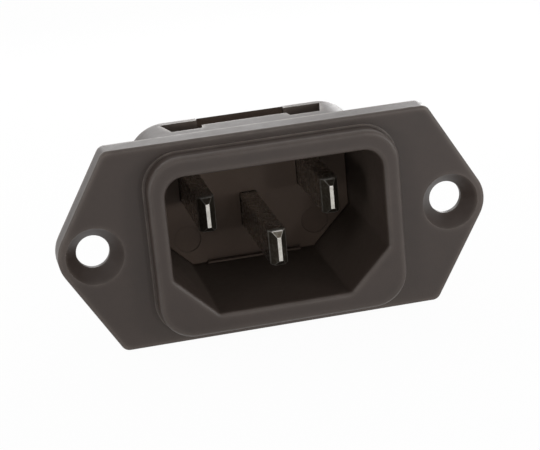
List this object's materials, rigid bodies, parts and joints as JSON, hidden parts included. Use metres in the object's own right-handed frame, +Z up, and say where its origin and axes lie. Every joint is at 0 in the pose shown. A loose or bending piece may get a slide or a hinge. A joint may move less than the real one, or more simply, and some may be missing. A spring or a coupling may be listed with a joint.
{
  "type": "c14 panel inlet socket",
  "caption": "Screw-mounted C14 appliance inlet: hexagonal flange with countersunk ears, raised collar, keyed recess with flat blades, rear sleeve and wiring tabs.",
  "frame": {"origin": "midway between the two screw holes, on the rear face of the flange that seats on the panel", "axes": "+X along the line of the screw holes, +Z up with the earth blade at the bottom, cord connector enters from -Y, wiring tabs point to +Y"},
  "size_m": [0.048, 0.0302, 0.0228],
  "materials": {
    "housing_plastic": "dark warm grey moulded thermoplastic with a fine spark-eroded grain",
    "carrier_plastic": "the same thermoplastic, smoother",
    "terminal_metal": "bright nickel plating on brass"
  },
  "bodies": {
    "root": {"housing": "housing_plastic", "terminal_carrier": "carrier_plastic", "line_terminal": "terminal_metal", "neutral_terminal": "terminal_metal", "earth_terminal": "terminal_metal"}
  },
  "joints": []
}
